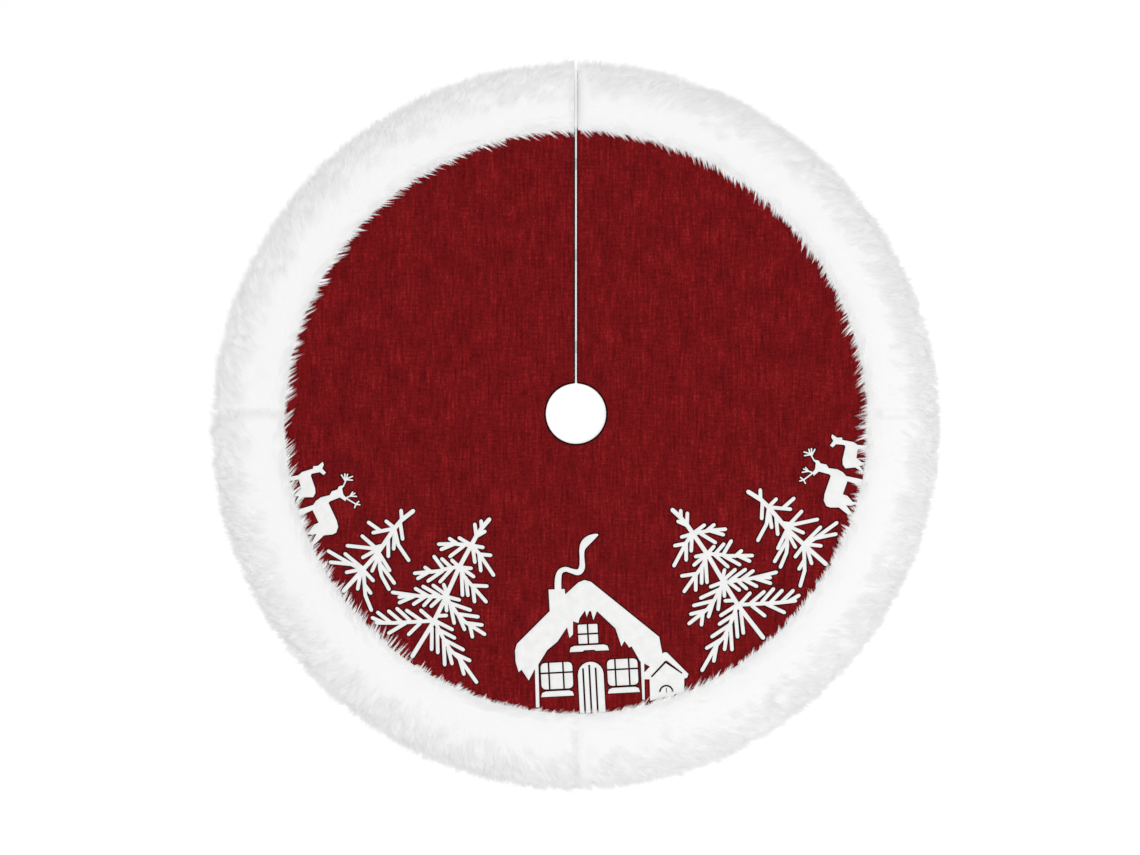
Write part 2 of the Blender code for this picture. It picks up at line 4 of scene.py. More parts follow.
import bmesh
import bpy
import numpy as np
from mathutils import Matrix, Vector
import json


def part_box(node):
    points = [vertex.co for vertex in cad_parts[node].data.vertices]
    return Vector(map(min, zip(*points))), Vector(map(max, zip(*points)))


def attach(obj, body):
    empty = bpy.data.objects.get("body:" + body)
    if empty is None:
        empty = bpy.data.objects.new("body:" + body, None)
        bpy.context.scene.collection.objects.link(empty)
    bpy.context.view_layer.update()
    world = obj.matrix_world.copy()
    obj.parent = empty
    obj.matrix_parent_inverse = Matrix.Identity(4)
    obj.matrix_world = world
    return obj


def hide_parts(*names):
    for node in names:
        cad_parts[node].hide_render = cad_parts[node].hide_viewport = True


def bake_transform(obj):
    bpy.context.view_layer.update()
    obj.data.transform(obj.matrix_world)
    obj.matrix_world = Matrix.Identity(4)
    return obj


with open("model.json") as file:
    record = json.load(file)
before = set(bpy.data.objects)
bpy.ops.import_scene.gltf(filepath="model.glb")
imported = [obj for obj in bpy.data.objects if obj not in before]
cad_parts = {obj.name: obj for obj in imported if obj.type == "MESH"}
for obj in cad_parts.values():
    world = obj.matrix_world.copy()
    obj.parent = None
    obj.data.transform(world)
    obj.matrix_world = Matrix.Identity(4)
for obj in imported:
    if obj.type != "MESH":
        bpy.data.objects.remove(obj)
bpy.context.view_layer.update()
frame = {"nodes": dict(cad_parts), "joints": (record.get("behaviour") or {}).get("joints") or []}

SEED = 20

# Places that the frame gives. The slit is opened by a small ease on each side.
FRONT = "front_half"
FLAPS = {"left": "left_flap", "right": "right_flap"}
FOLD_Y = frame["joints"][0]["pos_m"][1]


def node_points(name):
    """A CAD node's vertices."""
    return np.array([v.co for v in frame["nodes"][name].data.vertices])


FRONT_CLOTH = node_points("red_cloth_front")
BACK_CLOTH = node_points("red_cloth_back_left")
CLOTH_R = (BACK_CLOTH[:, 1].max() - FRONT_CLOTH[:, 1].min()) / 2
CLOTH_Y = (BACK_CLOTH[:, 1].max() + FRONT_CLOTH[:, 1].min()) / 2
CLOTH_TOP = FRONT_CLOTH[:, 2].max()
LINING_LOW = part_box("lining_front")[0].z
HOLE_R = np.hypot(FRONT_CLOTH[:, 0], FRONT_CLOTH[:, 1] - FOLD_Y).min()
SLIT_EASE = 0.0003
HALF_SLIT = SLIT_EASE - BACK_CLOTH[:, 0].max()
RIM_R = (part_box("fur_band_back_left")[1].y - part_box("fur_band_front_left")[0].y) / 2
HOLE = ((0, FOLD_Y), HOLE_R)
CLOTH_EDGE = ((0, CLOTH_Y), CLOTH_R)
RIM = ((0, 0), RIM_R)

# The fur starts this far inside the cloth's edge, and its body ends this far inside the rim.
FUR_BASE_IN = -0.004
FUR_BASE_OUT = -0.012

# How the cloth rises as it lies: its slow and fine waves, and how far from the slit the tapes hold it flat.
SLOW_CELL, FINE_CELL = 0.16, 0.05
SLOW_RISE, FINE_RISE = 0.0022, 0.0006
HELD_FLAT, FREE_FROM = 0.02, 0.09

# Closer than this, points are one point.
SAME_PLACE = 1e-6


# Noise and shape helpers.

LATTICE = 128


def value_noise(x, y, cell, seed):
    """Smooth noise from 0 to 1 over a square lattice of that cell size."""
    rng = np.random.default_rng(seed)
    table = rng.random((LATTICE, LATTICE))
    gx = np.asarray(x) / cell
    gy = np.asarray(y) / cell
    ix = np.floor(gx).astype(int)
    iy = np.floor(gy).astype(int)
    fx = gx - ix
    fy = gy - iy
    fx = fx * fx * (3 - 2 * fx)
    fy = fy * fy * (3 - 2 * fy)
    a = table[ix % LATTICE, iy % LATTICE]
    b = table[(ix + 1) % LATTICE, iy % LATTICE]
    c = table[ix % LATTICE, (iy + 1) % LATTICE]
    d = table[(ix + 1) % LATTICE, (iy + 1) % LATTICE]
    return (a * (1 - fx) + b * fx) * (1 - fy) + (c * (1 - fx) + d * fx) * fy


def ground(x, y):
    """How far the cloth and everything on it rises as it lies, in metres."""
    slow = value_noise(x, y, SLOW_CELL, 3) - 0.5
    fine = value_noise(x, y, FINE_CELL, 4) - 0.5
    free = smooth_step(HELD_FLAT, FREE_FROM, np.hypot(x, np.minimum(y, 0)))
    return free * (SLOW_RISE * slow + FINE_RISE * fine)


def reach(origin, direction, circle):
    """Distance along each direction from its origin to the circle around it."""
    offset = origin - np.array(circle[0])
    along = (offset * direction).sum(-1)
    return np.sqrt(along ** 2 - (offset ** 2).sum(-1) + circle[1] ** 2) - along


def smooth_step(low, high, value):
    t = np.clip((value - low) / (high - low), 0, 1)
    return t * t * (3 - 2 * t)


def mesh_from(name, points, faces):
    """A smooth mesh object of points and equal-sized faces, whose points also keep their rest place."""
    points = np.asarray(points, np.float32)
    count, corners = faces.shape
    mesh = bpy.data.meshes.new(name)
    mesh.vertices.add(len(points))
    mesh.vertices.foreach_set("co", points.ravel())
    mesh.loops.add(count * corners)
    mesh.loops.foreach_set("vertex_index", faces.ravel().astype(np.int32))
    mesh.polygons.add(count)
    mesh.polygons.foreach_set("loop_start", np.arange(count, dtype=np.int32) * corners)
    mesh.polygons.foreach_set("loop_total", np.full(count, corners, np.int32))
    mesh.update(calc_edges=True)
    mesh.validate()
    mesh.shade_smooth()
    keep_rest(mesh)
    thing = bpy.data.objects.new(name, mesh)
    bpy.context.scene.collection.objects.link(thing)
    return thing


def keep_rest(mesh):
    """Store each point's rest place, which the materials read so that they stay on the cloth as it folds."""
    co = np.zeros(len(mesh.vertices) * 3, np.float32)
    mesh.vertices.foreach_get("co", co)
    rest = mesh.attributes.get("rest") or mesh.attributes.new("rest", "FLOAT_VECTOR", "POINT")
    rest.data.foreach_set("vector", co)


def place_on(mesh, node, body):
    """Add a finished mesh that stands for a node and goes with one body."""
    keep_rest(mesh)
    piece = bpy.data.objects.new(mesh.name, mesh)
    bpy.context.scene.collection.objects.link(piece)
    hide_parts(node)
    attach(piece, body)


def carry(piece, place):
    """Let a piece go with the front half; a flap's piece only has its transform applied."""
    if place == "front":
        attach(piece, FRONT)
    else:
        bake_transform(piece)


DENSE_TO, DENSE_STEP, OTHER_COLUMNS = 9, 0.25, 109


def quarter_turn():
    """Angles from a fold line round to the middle, in radians, close together where a flap bends."""
    dense = np.arange(0, DENSE_TO, DENSE_STEP)
    return np.radians(np.concatenate([dense, np.linspace(DENSE_TO, 90, OTHER_COLUMNS)]))


def grid_faces(rows, columns, flip=False):
    """Quads of a grid of points stored row by row."""
    i, j = np.meshgrid(np.arange(rows - 1), np.arange(columns - 1), indexing="ij")
    a = (i * columns + j).ravel()
    quads = np.stack([a, a + 1, a + 1 + columns, a + columns], 1)
    return quads[:, ::-1] if flip else quads


def flat_area(x, y):
    """Area of a grid of points laid flat."""
    one = (x[1:, 1:] - x[:-1, :-1]) * (y[1:, :-1] - y[:-1, 1:])
    other = (x[1:, :-1] - x[:-1, 1:]) * (y[1:, 1:] - y[:-1, :-1])
    return float(np.abs(one - other).sum() / 2)


# Materials.

class Look:
    """A Principled material with short calls for its nodes."""

    def __init__(self, name, roughness=0.9, **sockets):
        self.material = bpy.data.materials.new(name)
        self.material.use_nodes = True
        self.tree = self.material.node_tree
        self.shader = self.tree.nodes["Principled BSDF"]
        self.shader.inputs["Roughness"].default_value = roughness
        for socket, value in sockets.items():
            self.shader.inputs[socket.replace("_", " ")].default_value = value
        rest = self.tree.nodes.new("ShaderNodeAttribute")
        rest.attribute_name = "rest"
        self.rest = rest.outputs["Vector"]

    def put(self, socket, value):
        if isinstance(value, bpy.types.NodeSocket):
            self.tree.links.new(value, socket)
        else:
            socket.default_value = value

    def math(self, operation, a, b=0.0):
        node = self.tree.nodes.new("ShaderNodeMath")
        node.operation = operation
        self.put(node.inputs[0], a)
        self.put(node.inputs[1], b)
        return node.outputs[0]

    def scaled(self, x, y, z, angle=0.0):
        """The rest place stretched along each axis, in periods per metre."""
        node = self.tree.nodes.new("ShaderNodeMapping")
        node.inputs["Scale"].default_value = (x, y, z)
        node.inputs["Rotation"].default_value = (0, 0, angle)
        self.put(node.inputs["Vector"], self.rest)
        return node.outputs[0]

    def noise(self, x, y, z, detail=2.0, angle=0.0):
        node = self.tree.nodes.new("ShaderNodeTexNoise")
        node.inputs["Scale"].default_value = 1
        node.inputs["Detail"].default_value = detail
        self.put(node.inputs["Vector"], self.scaled(x, y, z, angle))
        return node.outputs["Fac"]

    def ramp(self, value, *stops):
        node = self.tree.nodes.new("ShaderNodeValToRGB")
        ramp = node.color_ramp
        while len(ramp.elements) < len(stops):
            ramp.elements.new(0.5)
        for element, (place, colour) in zip(ramp.elements, stops):
            element.position = place
            element.color = (*colour, 1) if hasattr(colour, "__len__") else (colour, colour, colour, 1)
        self.put(node.inputs[0], value)
        return node.outputs[0]

    def stretch(self, value, low, high, to_low=0.0, to_high=1.0):
        node = self.tree.nodes.new("ShaderNodeMapRange")
        for socket, number in zip(list(node.inputs)[1:5], (low, high, to_low, to_high)):
            socket.default_value = number
        self.put(node.inputs[0], value)
        return node.outputs[0]

    def mix(self, share, a, b):
        node = self.tree.nodes.new("ShaderNodeMix")
        node.data_type = "RGBA"
        self.put(node.inputs[0], share)
        self.put(node.inputs[6], a)
        self.put(node.inputs[7], b)
        return node.outputs[2]

    def attribute(self, name):
        node = self.tree.nodes.new("ShaderNodeAttribute")
        node.attribute_name = name
        return node.outputs["Fac"]

    def colour(self, value):
        self.put(self.shader.inputs["Base Color"], value)

    def bump(self, height, distance, strength=1.0):
        node = self.tree.nodes.new("ShaderNodeBump")
        node.inputs["Strength"].default_value = strength
        node.inputs["Distance"].default_value = distance
        self.put(node.inputs["Height"], height)
        self.put(self.shader.inputs["Normal"], node.outputs[0])

    def weave(self, pitch):
        """Height of a plain weave with slightly wandering yarns, from 0 to 1."""
        split = self.tree.nodes.new("ShaderNodeSeparateXYZ")
        wobble = self.noise(90, 90, 90, detail=1)
        self.put(split.inputs[0], self.rest)
        turns = math.tau / pitch
        shift = self.math("MULTIPLY", wobble, 5.0)
        across = self.math("SINE", self.math("ADD", self.math("MULTIPLY", split.outputs[0], turns), shift))
        down = self.math("SINE", self.math("ADD", self.math("MULTIPLY", split.outputs[1], turns), shift))
        over = self.math("MULTIPLY", across, down)
        return self.math("ADD", self.math("MULTIPLY", over, 0.5), 0.5)


def red_cloth_look():
    """Deep red linen-like cloth with darker and lighter slubs both ways."""
    look = Look("red_slub_cloth", 0.92, Sheen_Weight=0.1, Sheen_Roughness=0.5, Specular_IOR_Level=0.04)
    look.shader.inputs["Sheen Tint"].default_value = (0.5, 0.02, 0.02, 1)
    yarns = (
        (0.29, look.noise(270, 30, 1, detail=2)),
        (0.17, look.noise(40, 300, 1, detail=2)),
        (0.26, look.noise(290, 190, 1, detail=2)),
        (0.12, look.noise(180, 9, 1, detail=2)),
        (0.16, look.noise(30, 20, 1, detail=2)),
    )
    tone = 0.0
    for share, yarn in yarns:
        tone = look.math("ADD", look.math("MULTIPLY", yarn, share), tone)
    tone = look.stretch(tone, 0.38, 0.62)
    colour = look.ramp(tone, (0.0, (0.056, 0.0021, 0.0030)), (0.35, (0.110, 0.0040, 0.0052)),
                       (0.65, (0.160, 0.0061, 0.0075)), (1.0, (0.275, 0.0135, 0.0155)))
    weave = look.weave(0.0011)
    colour = look.mix(look.math("MULTIPLY", weave, 0.3), colour, (0.20, 0.0085, 0.0105, 1))
    look.colour(colour)
    height = look.math("ADD", look.math("MULTIPLY", weave, 0.5), look.math("MULTIPLY", tone, 0.45))
    look.bump(height, 0.0004, 0.6)
    return look.material


def lining_look():
    """Plain off-white woven lining."""
    look = Look("lining_weave", 0.82, Specular_IOR_Level=0.3)
    mottle = look.noise(60, 60, 1, detail=3)
    look.colour(look.ramp(mottle, (0.3, (0.69, 0.68, 0.655)), (0.7, (0.75, 0.74, 0.715))))
    look.bump(look.math("ADD", look.weave(0.0007), look.math("MULTIPLY", mottle, 0.3)), 0.00025, 0.35)
    return look.material


def felt_look():
    """Pressed wool-like felt with short fibres both ways."""
    look = Look("white_felt", 0.95, Sheen_Weight=0.2, Sheen_Roughness=0.6, Specular_IOR_Level=0.2)
    fibre = look.noise(1500, 420, 1, detail=3, angle=0.7)
    cross = look.noise(420, 1500, 1, detail=3, angle=0.4)
    cloud = look.noise(70, 70, 1, detail=3)
    tangle = look.math("ADD", look.math("MULTIPLY", fibre, 0.5), look.math("MULTIPLY", cross, 0.5))
    tone = look.math("ADD", look.math("MULTIPLY", tangle, 0.6), look.math("MULTIPLY", cloud, 0.4))
    look.colour(look.ramp(tone, (0.36, (0.71, 0.71, 0.70)), (0.5, (0.765, 0.77, 0.76)),
                          (0.62, (0.81, 0.815, 0.81))))
    look.bump(tone, 0.0007, 0.5)
    return look.material


def painted_edge_shadow_look():
    """Near-black colour for the painted shadow round each felt piece and along the cloth's cut edges."""
    look = Look("painted_edge_shadow", 0.9, Specular_IOR_Level=0.05)
    twist = look.noise(1400, 1400, 1, detail=1)
    look.colour(look.ramp(twist, (0.35, (0.010, 0.0014, 0.0020)), (0.65, (0.036, 0.0030, 0.0040))))
    look.bump(twist, 0.0005, 0.6)
    return look.material


def thread_look(name, dark, light):
    """Twisted sewing thread."""
    look = Look(name, 0.7, Specular_IOR_Level=0.2)
    twist = look.noise(900, 2600, 900, detail=1, angle=0.6)
    look.colour(look.ramp(twist, (0.35, dark), (0.65, light)))
    look.bump(twist, 0.0003, 0.5)
    return look.material


def fur_look(name, dark, light):
    """White acrylic pile whose tone varies at random, with painted shade where the tufts part, darker at the
    roots and low in the coat.
    """
    look = Look(name, 0.8, Sheen_Weight=0.08, Sheen_Roughness=0.4, Specular_IOR_Level=0.15)
    # This attribute carries random tone and painted shade.
    tint_and_painted_shade = look.attribute("tint_and_painted_shade")
    cloud = look.noise(22, 22, 22, detail=3)
    tone = look.math("ADD", look.math("MULTIPLY", tint_and_painted_shade, 0.75), look.math("MULTIPLY", cloud, 0.25))
    look.colour(look.ramp(tone, (0.2, dark), (0.8, light)))
    streak = look.noise(1400, 1400, 300, detail=2)
    look.bump(streak, 0.0002, 0.2)
    return look.material


def backing_look():
    """Knitted backing cloth."""
    look = Look("fur_knit_backing", 0.9)
    knit = look.weave(0.0016)
    cloud = look.noise(45, 45, 1, detail=2)
    tone = look.math("ADD", look.math("MULTIPLY", knit, 0.4), look.math("MULTIPLY", cloud, 0.6))
    look.colour(look.ramp(tone, (0.3, (0.70, 0.70, 0.69)), (0.7, (0.80, 0.80, 0.79))))
    look.bump(knit, 0.0006, 0.6)
    return look.material


def tape_look(name, pitch, strength):
    """White tape covered with small hooks or loops."""
    look = Look(name, 0.7, Specular_IOR_Level=0.35)
    pile = look.weave(pitch)
    nap = look.noise(1200, 1200, 1200, detail=2)
    height = look.math("ADD", look.math("MULTIPLY", pile, 0.6), look.math("MULTIPLY", nap, 0.4))
    look.colour(look.ramp(height, (0.25, (0.62, 0.62, 0.61)), (0.75, (0.82, 0.82, 0.81))))
    look.bump(height, 0.0008, strength)
    return look.material


def floor_look():
    look = Look("pale_floor", 0.9, Specular_IOR_Level=0.1)
    look.colour((0.93, 0.93, 0.93, 1))
    return look.material


RED_CLOTH = red_cloth_look()
LINING = lining_look()
FELT = felt_look()
# Near-black painted shadow for the felt pieces' edges and the cloth's cut edges.
EDGE_PAINTED_SHADOW = painted_edge_shadow_look()
SEAM_THREAD = thread_look("red_seam_thread", (0.055, 0.0035, 0.0045), (0.12, 0.006, 0.008))
WHITE_THREAD = thread_look("white_seam_thread", (0.60, 0.59, 0.57), (0.78, 0.77, 0.75))
FUR = fur_look("white_pile", (0.735, 0.735, 0.735), (0.825, 0.825, 0.825))
UNDERCOAT = fur_look("white_undercoat", (0.71, 0.71, 0.71), (0.81, 0.81, 0.81))
BACKING = backing_look()
HOOK_TAPE = tape_look("hook_tape_face", 0.0014, 0.9)
LOOP_TAPE = tape_look("loop_tape_face", 0.0009, 0.6)


# Cloth sheets.

EDGE_STEPS = (0, 0.00015, 0.0005, 0.0011, 0.002, 0.0035)
CLOTH_ROWS = 64
CLOTH_UNDER_FUR = 0.004
CLOTH_DROP = 0.0003
SEAM_Z = (LINING_LOW + CLOTH_TOP) / 2
ROLL_WIDTH = 0.0018
FAR_FROM_SLIT = 9.0


def sheet_columns(place):
    """The lines that run out from the hole across a sheet: origins, headings and gaps from the slit."""
    origins = []
    headings = []
    if place == "front":
        for angle in np.concatenate([math.pi + quarter_turn(), math.tau - quarter_turn()[-2::-1]]):
            origins.append((0, FOLD_Y))
            headings.append((math.cos(angle), math.sin(angle)))
        return np.array(origins), np.array(headings), np.full(len(origins), FAR_FROM_SLIT)
    side = 1 if place == "right" else -1
    slit_gap = []
    for step in EDGE_STEPS:
        origins.append((side * (HALF_SLIT + step), FOLD_Y))
        headings.append((0, 1))
        slit_gap.append(step)
    for angle in quarter_turn()[-2::-1]:
        origins.append((side * (HALF_SLIT + EDGE_STEPS[-1]), FOLD_Y))
        headings.append((side * math.cos(angle), math.sin(angle)))
        slit_gap.append(FAR_FROM_SLIT)
    return np.array(origins), np.array(headings), np.array(slit_gap)


def rolled(gap, depth):
    """How far the surface drops towards a turned edge."""
    inward = 1 - np.clip(gap / ROLL_WIDTH, 0, 1)
    return depth * (1 - np.sqrt(1 - inward ** 2))


def cloth_sheet(name, place, level, depth, finish, node):
    """One sheet of cloth whose hole and slit edges are turned by depth, up or down, and its flat area."""
    origins, headings, slit_gap = sheet_columns(place)
    near = reach(origins, headings, HOLE)
    far = reach(origins, headings, CLOTH_EDGE) + CLOTH_UNDER_FUR
    inner = np.array(EDGE_STEPS)
    shares = np.linspace(0, 1, CLOTH_ROWS)[1:]
    start = near + inner[-1]
    distance = np.concatenate([near[:, None] + inner, start[:, None] + shares * (far - start)[:, None]], 1)
    gap = np.minimum(distance - near[:, None], slit_gap[:, None])
    x = origins[:, 0, None] + headings[:, 0, None] * distance
    y = origins[:, 1, None] + headings[:, 1, None] * distance
    z = level + ground(x, y) - rolled(gap, depth)
    points = np.stack([x, y, z], -1).reshape(-1, 3)
    piece = mesh_from(name, points, grid_faces(*x.shape, flip=(place == "right") != (depth > 0)))
    piece.data.materials.append(finish)
    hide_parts(node)
    return piece, flat_area(x, y)


def make_cloths():
    whole = 2 * (CLOTH_R + CLOTH_UNDER_FUR)
    half = (whole, whole / 2 + FOLD_Y - CLOTH_Y)
    quarter = (whole / 2, whole / 2 - FOLD_Y + CLOTH_Y)
    top = CLOTH_TOP - CLOTH_DROP
    low = LINING_LOW
    sheets = (("front", "front", half), ("left", "back_left", quarter), ("right", "back_right", quarter))
    for place, node, flat in sheets:
        cloth, area = cloth_sheet(f"red_cloth_sheet_{node}", place, top, top - SEAM_Z, RED_CLOTH,
                                  f"red_cloth_{node}")
        lining, _ = cloth_sheet(f"lining_sheet_{node}", place, low, low - SEAM_Z, LINING,
                                f"lining_{node}")
        carry(cloth, place)
        carry(lining, place)


# Stitching along the slit and round the hole.

STITCH_INSET = 0.0045
STITCH_PITCH = 0.0042
STITCH_LENGTH = 0.0031
STITCH_R = 0.00042
# Sizes of the near-black tube that paints the shadow along the hole's and the slit's cut edges.
HOLE_SHADOW_TUBE_R = 0.0018
SLIT_SHADOW_TUBE_R = 0.0013
SHADOW_TUBE_OVERHANG = 0.0012
SLIT_OVERHANG = 0.0001
SHADOW_TUBE_STEP = 0.0005
SHADOW_TUBE_TAPER_STEPS = 8
SHADOW_TUBE_SIDES = 8
OVERLOCK_PITCH = 0.0032
OVERLOCK_SLANT = math.radians(-62)
OVERLOCK_LENGTH = 0.0042
STITCH_SIDES = 6
STITCH_RINGS = ((0.0, 0.15), (0.18, 0.85), (0.5, 1.0), (0.82, 0.85), (1.0, 0.15))
SLIT_STITCH_START = 0.002
STITCH_SINK = 0.0001
SEAM_SINK = 0.0002
SEAM_INSET = 0.001
SHADOW_TUBE_RISE = 0.0003


def tube_faces(sides, rings):
    """Quads of a tube whose points are stored ring by ring."""
    k = np.arange(sides)
    first = np.stack([k, (k + 1) % sides, (k + 1) % sides + sides, k + sides], 1)
    return (first[None] + np.arange(rings - 1)[:, None, None] * sides).reshape(-1, 4)


def stitches(name, starts, headings, level, finish, slot_name, length=STITCH_LENGTH):
    """Short raised stitches at a height, each from its start along its heading."""
    sides = STITCH_SIDES
    turn = np.arange(sides) * math.tau / sides
    across = np.stack([-headings[:, 1], headings[:, 0]], 1)
    points = []
    for share, width in STITCH_RINGS:
        centre = starts + headings * length * share
        lift = level + ground(centre[:, 0], centre[:, 1])
        side = np.cos(turn) * STITCH_R * width
        up = np.sin(turn) * STITCH_R * width
        ring = np.empty((len(starts), sides, 3))
        ring[..., :2] = centre[:, None] + across[:, None] * side[None, :, None]
        ring[..., 2] = lift[:, None] + up
        points.append(ring)
    cloud = np.stack(points, 1).reshape(-1, 3)
    one_stitch = tube_faces(sides, len(STITCH_RINGS))
    per_stitch = sides * len(STITCH_RINGS)
    faces = (one_stitch[None] + np.arange(len(starts))[:, None, None] * per_stitch).reshape(-1, 4)
    piece = mesh_from(name, cloud, faces)
    piece.data.materials.append(finish)
    return piece


def arc_stitches(centre_y, radius, start, end, pitch, slant=0.0):
    """Starts and headings of stitches along an arc, each turned from the arc by a slant."""
    count = int(radius * (end - start) / pitch)
    angles = start + (end - start) * (np.arange(count) + 0.2) / count
    points = np.stack([radius * np.cos(angles), centre_y + radius * np.sin(angles)], 1)
    return points, np.stack([-np.sin(angles + slant), np.cos(angles + slant)], 1)


def straight_stitches(x0, y0, x1, y1):
    """Starts and headings of stitches along a straight line."""
    run = np.array((x1 - x0, y1 - y0))
    length = np.linalg.norm(run)
    count = int(length / STITCH_PITCH)
    heading = run / length
    points = np.array((x0, y0)) + heading * (np.arange(count)[:, None] * STITCH_PITCH)
    return points, np.tile(heading, (count, 1))


def joined(*lines):
    """Several lines of stitches as one list of starts and headings."""
    return [np.concatenate(column) for column in zip(*lines)]


def sector(place):
    """The angles round the hole's middle, in radians, that a place spans."""
    return {"front": (math.pi, math.tau), "left": (math.pi / 2, math.pi), "right": (0, math.pi / 2)}[place]


def edge_lines(place):
    """The stitches round the hole, and along the slit on a flap."""
    radius = HOLE_R + STITCH_INSET
    start, end = sector(place)
    if place == "front":
        return arc_stitches(FOLD_Y, radius, start, end, STITCH_PITCH)
    tilt = math.asin((HALF_SLIT + STITCH_INSET) / radius)
    start, end = (start, end - tilt) if place == "right" else (start + tilt, end)
    slit_x = (HALF_SLIT + STITCH_INSET) * (1 if place == "right" else -1)
    slit = straight_stitches(slit_x, FOLD_Y + radius + SLIT_STITCH_START, slit_x, CLOTH_Y + CLOTH_R)
    return joined(arc_stitches(FOLD_Y, radius, start, end, STITCH_PITCH), slit)


def edge_path(place):
    """The middle line of the painted shadow tube round the hole's edge, and on a flap along the slit's, with
    its radius.
    """
    radius = HOLE_R + HOLE_SHADOW_TUBE_R - SHADOW_TUBE_OVERHANG
    start, end = sector(place)
    side = {"front": 0, "left": -1, "right": 1}[place]
    slit_x = HALF_SLIT + SLIT_SHADOW_TUBE_R - SLIT_OVERHANG
    tilt = math.asin(slit_x / radius) if side else 0
    start, end = (start, end - tilt) if side > 0 else (start + tilt, end)
    angles = np.linspace(start, end, int(radius * (end - start) / SHADOW_TUBE_STEP))
    arc = np.stack([radius * np.cos(angles), FOLD_Y + radius * np.sin(angles)], 1)
    if not side:
        return arc, np.full(len(arc), HOLE_SHADOW_TUBE_R)
    arc = arc if side > 0 else arc[::-1]
    ys = np.arange(arc[-1, 1] + SHADOW_TUBE_STEP, CLOTH_Y + CLOTH_R, SHADOW_TUBE_STEP)
    path = np.concatenate([arc, np.stack([np.full(len(ys), side * slit_x), ys], 1)])
    past_corner = np.arange(len(path)) - len(arc)
    return path, np.interp(past_corner, (-SHADOW_TUBE_TAPER_STEPS, 0), (HOLE_SHADOW_TUBE_R, SLIT_SHADOW_TUBE_R))


def painted_edge_shadow_tube(place):
    """A near-black tube round the cloth's cut edge, with its top just over the cloth, that paints the shadow
    along the edge.
    """
    path, radius = edge_path(place)
    heading = np.gradient(path, axis=0)
    heading /= np.linalg.norm(heading, axis=1, keepdims=True)
    across = np.stack([-heading[:, 1], heading[:, 0]], 1)
    turn = np.arange(SHADOW_TUBE_SIDES) * math.tau / SHADOW_TUBE_SIDES
    level = CLOTH_TOP + SHADOW_TUBE_RISE - radius + ground(path[:, 0], path[:, 1])
    tube = np.empty((len(path), SHADOW_TUBE_SIDES, 3))
    tube[..., :2] = path[:, None] + across[:, None] * (radius[:, None] * np.cos(turn))[..., None]
    tube[..., 2] = level[:, None] + radius[:, None] * np.sin(turn)
    piece = mesh_from(f"edge_shadow_tube_{place}", tube.reshape(-1, 3), tube_faces(SHADOW_TUBE_SIDES, len(path)))
    piece.data.materials.append(EDGE_PAINTED_SHADOW)
    carry(piece, place)


def make_stitching():
    """Red stitching on the cloth, white on the lining, and the seam that joins the border on underneath."""
    for place in ("front", "left", "right"):
        lines = edge_lines(place)
        below = LINING_LOW + STITCH_SINK
        seam_r = CLOTH_R + FUR_BASE_IN - SEAM_INSET
        start, end = sector(place)
        fold = math.asin((FOLD_Y - CLOTH_Y) / seam_r)
        start -= fold * (place == "front")
        end += fold * {"front": 1, "left": -1, "right": 0}[place]
        start += fold * (place == "right")
        seam = arc_stitches(CLOTH_Y, seam_r, start, end, OVERLOCK_PITCH, OVERLOCK_SLANT)
        pieces = (
            stitches(f"cloth_stitching_{place}", *lines, CLOTH_TOP - STITCH_SINK, SEAM_THREAD, "red_cloth"),
            stitches(f"lining_stitching_{place}", *lines, below, WHITE_THREAD, "lining"),
            stitches(f"border_seam_{place}", *seam, LINING_LOW - SEAM_SINK, WHITE_THREAD, "lining",
                     OVERLOCK_LENGTH),
        )
        for piece in pieces:
            carry(piece, place)
        # The near-black tube along the cut edges is painted shadow.
        painted_edge_shadow_tube(place)


# Felt pieces.

FELT_SLICE = 0.012
FELT_ROUNDING = 0.0003
# Width of the flat near-black strip of painted shadow round each felt piece, and how far below the felt's
# CAD underside it lies.
EDGE_SHADOW_WIDTH = 0.0021
EDGE_SHADOW_SINK = 0.00012
FELT_FOOT = 0.0003
FACING_UP = 0.9
FLAT_WITHIN = math.radians(1)
TOP_WITHIN = 1e-4
SHARP_OVER = math.radians(50)


def top_outline(node):
    """A bmesh of the highest flat faces of a CAD node."""
    shape = bmesh.new()
    shape.from_mesh(frame["nodes"][node].data)
    bmesh.ops.remove_doubles(shape, verts=shape.verts, dist=SAME_PLACE)
    high = max(v.co.z for v in shape.verts)
    spare = [f for f in shape.faces
             if f.normal.z < FACING_UP or abs(f.calc_center_median().z - high) > TOP_WITHIN]
    bmesh.ops.delete(shape, geom=spare, context="FACES")
    bmesh.ops.dissolve_limit(shape, angle_limit=FLAT_WITHIN, verts=shape.verts, edges=shape.edges)
    return shape


def slice_up(shape):
    """Cut a shape along X and Y so that it can follow the cloth's rise."""
    for axis in (0, 1):
        low = min(v.co[axis] for v in shape.verts)
        high = max(v.co[axis] for v in shape.verts)
        normal = Vector((axis == 0, axis == 1, 0))
        for i in range(1, int((high - low) / FELT_SLICE) + 1):
            place = Vector((0, 0, 0))
            place[axis] = low + i * FELT_SLICE
            geometry = list(shape.verts) + list(shape.edges) + list(shape.faces)
            bmesh.ops.bisect_plane(shape, geom=geometry, plane_co=place, plane_no=normal,
                                   dist=SAME_PLACE)


